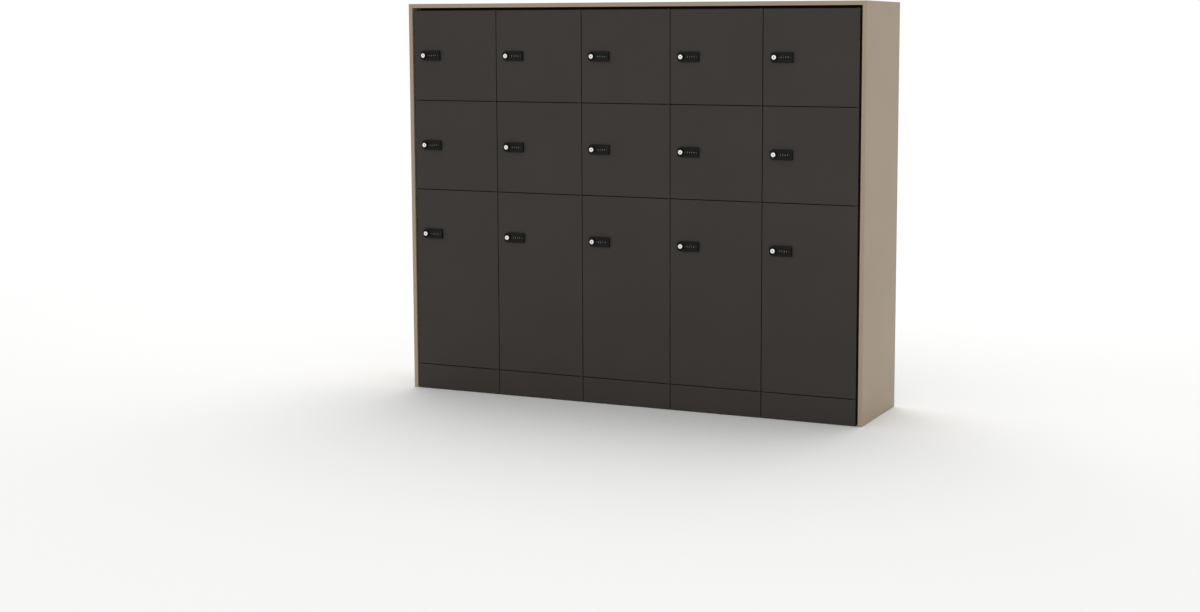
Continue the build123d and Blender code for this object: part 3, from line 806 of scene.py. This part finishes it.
def round_head_screw(sizes, length):
    """Pan-head screw with a cross recess, its shank along +Z and its thread as raised rings."""
    head = sizes.head_radius
    tall = sizes.head_height
    shank = sizes.shank_radius
    pitch = sizes.thread_pitch
    bm = bmesh.new()

    def cross(angle):
        between_arms = abs(math.sin(2 * angle))
        return head * (RECESS_ARM - (RECESS_ARM - RECESS_WAIST) * between_arms)

    profile = [(0, tall * RECESS_FLOOR), (cross, tall * RECESS_FLOOR), (cross, tall)]
    profile += [(head * across, tall * up) for across, up in HEAD_CURVE]
    profile += [(shank, 0)]
    along = pitch
    while along < length - pitch:
        profile += [(shank * SCREW_ROOT, -along), (shank, -along - pitch / 2)]
        along += pitch
    profile += [(0, -length)]
    lathe(bm, profile, SCREW_SIDES)
    # Into the door becomes up into the board
    bmesh.ops.rotate(bm, verts=bm.verts, matrix=Matrix.Rotation(math.pi / 2, 3, "X"))
    return mesh_from(bm, "round_head_screw", ("bright_zinc",))


def levelling_foot(sizes):
    """Foot with a ribbed pad, a threaded stud and two nuts."""
    pad = sizes.pad_radius
    tall = sizes.pad_height
    stud = sizes.foot_stud_radius
    bm = bmesh.new()

    def ribbed(angle):
        return pad * (1 - PAD_RIB_DEPTH * (1 + math.cos(PAD_RIBS * angle)))

    profile = [(0, 0), (pad * PAD_BASE, 0)]
    profile += [(ribbed, tall * level) for level in PAD_RIM]
    profile += [(pad * PAD_TOP, tall), (0, tall)]
    lathe(bm, profile, PAD_SIDES)
    profile = [(0, tall * STUD_SEAT), (stud, tall * STUD_SEAT)]
    along = tall
    while along < sizes.foot_stud_top - sizes.foot_pitch:
        profile += [(stud, along), (stud * STUD_ROOT, along + sizes.foot_pitch / 2)]
        along += sizes.foot_pitch
    profile += [(stud * STUD_TIP, sizes.foot_stud_top), (0, sizes.foot_stud_top)]
    lathe(bm, profile, STUD_SIDES, finish_index=1)
    for low, high in sizes.foot_nuts():
        slab(bm, hexagon(sizes.nut_radius), low, high, sizes.ease / 2, finish_index=1)
    # Out of the door becomes up from the floor
    bmesh.ops.rotate(bm, verts=bm.verts, matrix=Matrix.Rotation(-math.pi / 2, 3, "X"))
    return mesh_from(bm, "levelling_foot", ("black_polyamide", "bright_zinc"))


def size_property(name, description, millimetres):
    """A length that a user may change, given in millimetres."""
    return FloatProperty(
        name=name, description=description, default=millimetres * MM, unit="LENGTH", precision=5
    )


class LockSizes(bpy.types.PropertyGroup):
    """Sizes of one combination lock."""

    case_proud: size_property("Case", "Case in front of the door", 9.0)
    seat: size_property("Seat", "How deep small parts are let into the case", 0.3)
    wheel_radius: size_property("Wheel radius", "Number wheel's radius", 11.0)
    wheel_width: size_property("Wheel width", "Number wheel's width", 7.0)
    wheel_edge: size_property("Wheel edge", "Bevel at the wheel's sides", 0.5)
    wheel_notch: size_property("Finger notch", "Depth of the notches between the numbers", 0.45)
    axle_radius: size_property("Axle hole", "Radius of the wheel's hole", 1.6)
    digit_size: size_property("Number size", "Type size of the numbers", 6.2)
    digit_depth: size_property("Number depth", "Thickness of a printed number", 0.5)
    digit_proud: size_property("Number relief", "Number beyond the rim", 0.04)
    window_margin: size_property("Window margin", "Beside the outer wheels", 1.6)
    window_height: size_property("Window height", "Opening round the wheels", 15.0)
    window_rim: size_property("Window rim", "Width of the raised frame", 1.2)
    window_proud: size_property("Window relief", "Frame beyond the case", 0.6)
    index_mark: size_property("Index mark", "Length of the mark beside the wheels", 2.0)
    knob_radius: size_property("Knob radius", "Over the ribs", 14.0)
    knob_proud: size_property("Knob", "Knob's face in front of the door", 15.0)
    knob_gap: size_property("Knob gap", "Behind the knob", 0.3)
    rib_height: size_property("Rib", "Height of the knob's ribs", 0.5)
    rib_count: IntProperty(name="Ribs", description="Ribs round the knob", default=36, min=3)
    core_radius: size_property("Core radius", "Key core's radius", 9.0)
    core_proud: size_property("Core", "Key core's face in front of the door", 17.0)
    keyhole_radius: size_property("Keyhole radius", "Round part of the keyhole", 2.3)
    keyhole_slot: size_property("Keyhole slot", "Length of the slot", 7.5)
    keyhole_width: size_property("Keyhole width", "Width of the slot", 1.3)
    keyhole_depth: size_property("Keyhole depth", "Depth of the keyhole", 4.0)
    shaft_radius: size_property("Shaft radius", "Knob's shaft", 6.0)
    stud_radius: size_property("Stud radius", "Stud that holds the cam", 4.0)
    stud_tail: size_property("Stud tail", "Stud beyond the nut", 1.5)
    cam_depth: size_property("Cam depth", "Cam behind the door's face", 34.5)
    cam_thickness: size_property("Cam thickness", "Cam's sheet", 2.5)
    cam_length: size_property("Cam length", "From the knob's axis", 42.0)
    cam_width: size_property("Cam width", "Across the cam", 16.0)
    nut_radius: size_property("Nut radius", "Across the nut's corners", 7.5)
    nut_thickness: size_property("Nut thickness", "Along the stud", 4.5)
    ease: size_property("Easing", "Rounding of small edges", 0.6)


class HardwareSizes(bpy.types.PropertyGroup):
    """Sizes of the screws and the feet."""

    head_radius: size_property("Head radius", "Screw head's radius", 4.5)
    head_height: size_property("Head height", "Screw head's height", 2.2)
    shank_radius: size_property("Shank radius", "Over the thread", 2.1)
    thread_pitch: size_property("Thread pitch", "From one thread to the next", 1.8)
    side_shank: size_property("Side screw", "Shank of the screws in the side boards", 21.95)
    top_shank: size_property("Top screw", "Shank of the screws in the top boards", 24.0)
    lowest_screw: size_property("Lowest screw", "Above the floor", 250.0)
    screw_spacing: size_property("Screw spacing", "From one side screw up to the next", 600.0)
    screw_rows: IntProperty(name="Screw rows", description="Screws up each strip", default=3, min=1)
    sheet: size_property("Sheet", "Steel between a screw's head and the strip", 1.0)
    pad_radius: size_property("Pad radius", "Foot's radius", 16.0)
    pad_height: size_property("Pad height", "Foot's height", 6.0)
    foot_stud_radius: size_property("Foot stud", "Stud's radius", 4.0)
    foot_stud_top: size_property("Foot stud top", "Stud's top above the floor", 34.0)
    foot_pitch: size_property("Foot thread", "From one thread to the next", 1.25)
    plate_level: size_property("Plate level", "Underside of the base plate", 12.0)
    plate_thickness: size_property("Plate", "Base plate's sheet", 1.0)
    lower_nut: size_property("Lower nut", "Thickness of the nut below", 4.0)
    upper_nut: size_property("Upper nut", "Thickness of the nut above", 6.5)
    nut_radius: size_property("Nut radius", "Across the nut's corners", 7.5)
    foot_inset: size_property("Foot inset", "From a module's side to its foot", 45.0)
    strip_width: size_property("Strip", "Width of a packing strip", 50.0)
    ease: size_property("Easing", "Rounding of small edges", 0.6)

    def foot_nuts(self):
        """Bottom and top of the nuts below and above the base plate."""
        above = self.plate_level + self.plate_thickness
        return [(self.plate_level - self.lower_nut, self.plate_level), (above, above + self.upper_nut)]


def colour_property(name, description, colour):
    """A colour that a user may change, from its sRGB hex value."""
    return FloatVectorProperty(
        name=name,
        description=description,
        default=linear(colour),
        size=4,
        subtype="COLOR",
        min=0.0,
        max=1.0,
    )


class FinishColours(bpy.types.PropertyGroup):
    """The darker and the lighter tone of each finish."""

    taupe_melamine_dark: colour_property("Boards, dark", "Darker tone of the boards", "#998873")
    taupe_melamine_light: colour_property("Boards, light", "Lighter tone of the boards", "#AB9A85")
    door_coat_dark: colour_property("Doors, dark", "Darker tone of the doors", "#312D29")
    door_coat_light: colour_property("Doors, light", "Lighter tone of the doors", "#38332F")
    carcass_coat_dark: colour_property("Modules, dark", "Darker tone of the modules", "#24211F")
    carcass_coat_light: colour_property("Modules, light", "Lighter tone of the modules", "#2B2825")
    black_nylon_dark: colour_property("Locks, dark", "Darker tone of the locks", "#0E0D0D")
    black_nylon_light: colour_property("Locks, light", "Lighter tone of the locks", "#151413")
    satin_nickel_dark: colour_property("Key cores, dark", "Darker tone of the key cores", "#E4E2DE")
    satin_nickel_light: colour_property("Key cores, light", "Lighter tone of the key cores", "#F8F7F5")
    bright_zinc_dark: colour_property("Zinc, dark", "Darker tone of cams and screws", "#A9ABAC")
    bright_zinc_light: colour_property("Zinc, light", "Lighter tone of cams and screws", "#CDCFCF")
    number_paint_dark: colour_property("Numbers, dark", "Darker tone of the numbers", "#8E8C87")
    number_paint_light: colour_property("Numbers, light", "Lighter tone of the numbers", "#B3B1AC")
    # The strips' near-black tones are painted shade, so that the gaps in front of them read dark
    stained_spruce_dark: colour_property("Strips, dark", "Darker tone of the strips", "#14110F")
    stained_spruce_light: colour_property("Strips, light", "Lighter tone of the strips", "#231E1A")
    black_polyamide_dark: colour_property("Feet, dark", "Darker tone of the feet", "#171716")
    black_polyamide_light: colour_property("Feet, light", "Lighter tone of the feet", "#2A2927")


def stage_property(name, description, default, unit="NONE"):
    """A number of the stage that a user may change; a length is in metres."""
    return FloatProperty(name=name, description=description, default=default, unit=unit)


def place_property(name, description, place):
    """Where a lamp is, in metres."""
    return FloatVectorProperty(name=name, description=description, default=place, subtype="TRANSLATION")


class StageSettings(bpy.types.PropertyGroup):
    """Light and floor of the stage."""

    floor_size: stage_property("Floor", "Side of the floor", 120.0, "LENGTH")
    floor_drop: size_property("Floor drop", "Floor below the cabinet, so that they share no plane", 0.2)
    floor_colour: colour_property("Floor colour", "Colour of the floor", "#F4F4F3")
    clear_radius: stage_property("Clear", "Floor that shows its own shading", 2.2, "LENGTH")
    white_radius: stage_property("White", "Where the floor is plain white", 7.5, "LENGTH")
    dome_strength: stage_property("Dome", "Strength of the even light all round", 0.73)
    key_power: stage_property("Key lamp", "Power of the large lamp", 710.0, "POWER")
    key_size: stage_property("Key size", "Side of the large lamp", 10.0, "LENGTH")
    key_place: place_property("Key place", "Where the large lamp hangs", (-1.5, 5.0, 11.0))
    fill_power: stage_property("Fill lamp", "Power of the lamp in front", 95.0, "POWER")
    fill_size: stage_property("Fill size", "Side of the lamp in front", 5.0, "LENGTH")
    fill_place: place_property("Fill place", "Where the lamp in front stands", (2.0, -10.0, 2.5))


class DressOperator:
    """What the operators share."""

    bl_options = {"REGISTER", "UNDO"}


class LOCKER_OT_boards(DressOperator, bpy.types.Operator):
    """Finish the boards of the surround and the packing strips behind them"""

    bl_idname = "locker.boards"
    bl_label = "Surround Boards"

    def execute(self, context):
        for node in ("side_panel_left", "side_panel_right", "top_panel_short", "top_panel_long"):
            coat_node(node, "taupe_melamine")
        # The strips are coloured near black as painted shade for the gaps
        coat_node("packing_strips", "stained_spruce")
        return {"FINISHED"}


class LOCKER_OT_steelwork(DressOperator, bpy.types.Operator):
    """Finish the doors, the plinth, the modules and the hinges"""

    bl_idname = "locker.steelwork"
    bl_label = "Steelwork"

    def execute(self, context):
        for mark in MARKS:
            coat_node(f"door_{mark}", "door_coat")
        coat_node("plinth_panels", "door_coat")
        coat_node("carcass_walls", "carcass_coat")
        coat_node("carcass_shelves", "carcass_coat")
        coat_node("pivot_hinges", "carcass_coat")
        return {"FINISHED"}


class LOCKER_OT_locks(DressOperator, bpy.types.Operator):
    """Make the lock cases and their number wheels"""

    bl_idname = "locker.locks"
    bl_label = "Combination Locks"

    def execute(self, context):
        sizes = context.scene.locker_lock
        wheel = number_wheel(sizes)
        here = Matrix.Identity(4)
        case = [(lock_shell(), here), (window_frame(sizes), here)]
        axis = knob_axis(DIAL_MARK)
        wheels = [(wheel, Matrix.Translation(place - axis)) for place in WHEEL_AXES]
        still_lock = joined("lock_with_wheels", case + wheels)
        dial_lock = joined("lock_case", case)
        for mark in MARKS:
            template = dial_lock if mark == DIAL_MARK else still_lock
            lock = put_in_place(template, f"combination_lock_{mark}", knob_axis(mark))
            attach(lock, f"door_{mark}")
            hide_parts(f"lock_{mark}")
        for node, place in zip(WHEEL_NODES, WHEEL_AXES):
            turning = put_in_place(wheel, f"dial_{node}", place)
            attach(turning, node)
            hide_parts(node)
        return {"FINISHED"}


class LOCKER_OT_knobs(DressOperator, bpy.types.Operator):
    """Make the knobs with their key cores and cams"""

    bl_idname = "locker.knobs"
    bl_label = "Knobs"

    def execute(self, context):
        template = turning_knob(context.scene.locker_lock)
        for mark in MARKS:
            knob = put_in_place(template, f"turning_knob_{mark}", knob_axis(mark))
            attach(knob, f"knob_{mark}")
            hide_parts(f"knob_{mark}")
        return {"FINISHED"}


def screw_places(sizes):
    """Where the heads sit: under the top sheets, and inside the left and right outer walls."""
    low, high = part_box("carcass_walls")
    strips_low, strips_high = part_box("packing_strips")
    half = sizes.strip_width / 2
    across = (strips_low.y + half, strips_high.y - half)
    pitch = (high.x - low.x) / COLUMNS
    top = [(low.x + (i + 0.5) * pitch, y, high.z - sizes.sheet) for i in range(COLUMNS) for y in across]
    heights = [sizes.lowest_screw + i * sizes.screw_spacing for i in range(sizes.screw_rows)]
    left = [(low.x + sizes.sheet, y, z) for y in across for z in heights]
    right = [(high.x - sizes.sheet, y, z) for y in across for z in heights]
    return top, left, right


class LOCKER_OT_feet(DressOperator, bpy.types.Operator):
    """Make the levelling feet"""

    bl_idname = "locker.feet"
    bl_label = "Levelling Feet"

    def execute(self, context):
        sizes = context.scene.locker_hardware
        foot = levelling_foot(sizes)
        low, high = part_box("levelling_feet")
        pad = sizes.pad_radius
        pitch = (high.x - low.x - 2 * pad + 2 * sizes.foot_inset) / COLUMNS
        first = low.x + pad - sizes.foot_inset
        places = []
        for column in range(COLUMNS):
            for x in (sizes.foot_inset, pitch - sizes.foot_inset):
                for y in (low.y + pad, high.y - pad):
                    places.append((first + column * pitch + x, y, 0))
        # Pads and studs have a finish each, so each is repeated by itself
        feet = [
            repeat(repeat_tree(f"feet_on_points_{i}", None), f"feet_{i}", [only(foot, i)], 1, coat, places)
            for i, coat in enumerate(("black_polyamide", "bright_zinc"))
        ]
        here = Matrix.Identity(4)
        piece = new_object("feet_and_studs", joined("feet_and_studs", [(mesh, here) for mesh in feet]))
        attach(piece, "cabinet")
        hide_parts("levelling_feet")
        return {"FINISHED"}


def only(mesh, index):
    """The part of a mesh that has one of its finishes."""
    bm = bmesh.new()
    bm.from_mesh(mesh)
    rest = [face for face in bm.faces if face.material_index != index]
    bmesh.ops.delete(bm, geom=rest, context="FACES")
    part = bpy.data.meshes.new(f"{mesh.name}_{index}")
    bm.to_mesh(part)
    bm.free()
    return part


class LOCKER_OT_screws(DressOperator, bpy.types.Operator):
    """Make the screws that hold the boards"""

    bl_idname = "locker.screws"
    bl_label = "Board Screws"

    def execute(self, context):
        sizes = context.scene.locker_hardware
        top, left, right = screw_places(sizes)
        short = round_head_screw(sizes, sizes.side_shank)
        leftward = short.copy()
        leftward.transform(Matrix.Rotation(-math.pi / 2, 4, "Y"))
        rightward = short.copy()
        rightward.transform(Matrix.Rotation(math.pi / 2, 4, "Y"))
        tree = repeat_tree("screws_on_points", None)
        upward = round_head_screw(sizes, sizes.top_shank)
        rows = (("top", upward, top), ("left", leftward, left), ("right", rightward, right))
        here = Matrix.Identity(4)
        made = [
            (repeat(tree, f"screws_{side}", [mesh], 1, "bright_zinc", places), here)
            for side, mesh, places in rows
        ]
        screws = new_object("board_screws", joined("board_screws", made))
        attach(screws, "cabinet")
        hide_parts("cladding_screws")
        return {"FINISHED"}


class LOCKER_OT_stage(DressOperator, bpy.types.Operator):
    """Set the floor, the light and the camera"""

    bl_idname = "locker.stage"
    bl_label = "Stage"

    def execute(self, context):
        settings = context.scene.locker_stage
        half = settings.floor_size / 2
        mesh = bpy.data.meshes.new("floor")
        corners = [(x, y, 0) for x, y in rectangle((-half, -half), (half, half))]
        mesh.from_pydata(corners, [], [(0, 1, 2, 3)])
        paper = pale_floor(settings.floor_colour, settings.clear_radius, settings.white_radius)
        mesh.materials.append(paper)
        floor = new_object("floor", mesh)
        floor.location.z = -settings.floor_drop
        set_dome(context.scene, settings.dome_strength)
        # The key hangs high behind the cabinet, so the shadow falls forwards, and the fill lifts the front
        soft_lamp("key_lamp", settings.key_power, settings.key_size, settings.key_place)
        soft_lamp("fill_lamp", settings.fill_power, settings.fill_size, settings.fill_place)
        set_camera(context.scene)
        context.scene.view_settings.view_transform = "Standard"
        return {"FINISHED"}


def set_dome(scene, strength):
    """Even light all round, seen as plain white by the eye and in reflections."""
    world = bpy.data.worlds.new("studio")
    scene.world = world
    world.use_nodes = True
    tree = world.node_tree
    background = tree.nodes["Background"]
    background.inputs["Color"].default_value = linear("#FFFFFF")
    level = add_node(
        tree, "ShaderNodeMapRange", {"Value": seen_by_eye(tree), "To Min": strength, "To Max": 1.0}
    )
    tree.links.new(level.outputs["Result"], background.inputs["Strength"])


def soft_lamp(name, power, size, place):
    """A large square lamp that faces the middle of the cabinet."""
    light = bpy.data.lights.new(name, "AREA")
    light.energy = power
    light.size = size
    lamp = new_object(name, light)
    lamp.location = place
    aim = Vector((0, 0, cad_bounds[1][2] / 2)) - lamp.location
    lamp.rotation_euler = aim.to_track_quat("-Z", "Y").to_euler()


def set_camera(scene):
    """The photograph's camera."""
    data = bpy.data.cameras.new("photo_camera")
    data.sensor_width = SENSOR_WIDTH
    data.lens = FOCAL_PIXELS * SENSOR_WIDTH / PHOTO_SIZE[0]
    data.shift_x = (PHOTO_SIZE[0] / 2 - PRINCIPAL_POINT[0]) / PHOTO_SIZE[0]
    data.shift_y = (PRINCIPAL_POINT[1] - PHOTO_SIZE[1] / 2) / PHOTO_SIZE[0]
    data.clip_end = VIEW_DISTANCE
    camera = new_object("photo_camera", data)
    camera.location = CAMERA_PLACE
    camera.rotation_euler = (math.pi / 2 + CAMERA_PITCH, 0, CAMERA_YAW)
    scene.camera = camera


OPERATORS = (
    LOCKER_OT_boards,
    LOCKER_OT_steelwork,
    LOCKER_OT_locks,
    LOCKER_OT_knobs,
    LOCKER_OT_feet,
    LOCKER_OT_screws,
    LOCKER_OT_stage,
)


class LOCKER_PT_panel(bpy.types.Panel):
    """Lists the steps that dress the lockers"""

    bl_idname = "LOCKER_PT_panel"
    bl_label = "Lockers"
    bl_space_type = "VIEW_3D"
    bl_region_type = "UI"
    bl_category = "Lockers"

    def draw(self, context):
        for operator in OPERATORS:
            self.layout.operator(operator.bl_idname)


CLASSES = (LockSizes, HardwareSizes, FinishColours, StageSettings, *OPERATORS, LOCKER_PT_panel)


def register():
    for each in CLASSES:
        bpy.utils.register_class(each)
    bpy.types.Scene.locker_lock = PointerProperty(type=LockSizes)
    bpy.types.Scene.locker_hardware = PointerProperty(type=HardwareSizes)
    bpy.types.Scene.locker_colours = PointerProperty(type=FinishColours)
    bpy.types.Scene.locker_stage = PointerProperty(type=StageSettings)


def unregister():
    del bpy.types.Scene.locker_stage
    del bpy.types.Scene.locker_colours
    del bpy.types.Scene.locker_hardware
    del bpy.types.Scene.locker_lock
    for each in reversed(CLASSES):
        bpy.utils.unregister_class(each)


def main():
    """Runs every step in order."""
    register()
    bpy.ops.locker.stage()
    bpy.ops.locker.boards()
    bpy.ops.locker.steelwork()
    bpy.ops.locker.locks()
    bpy.ops.locker.knobs()
    bpy.ops.locker.feet()
    bpy.ops.locker.screws()


if __name__ == "__main__":
    main()
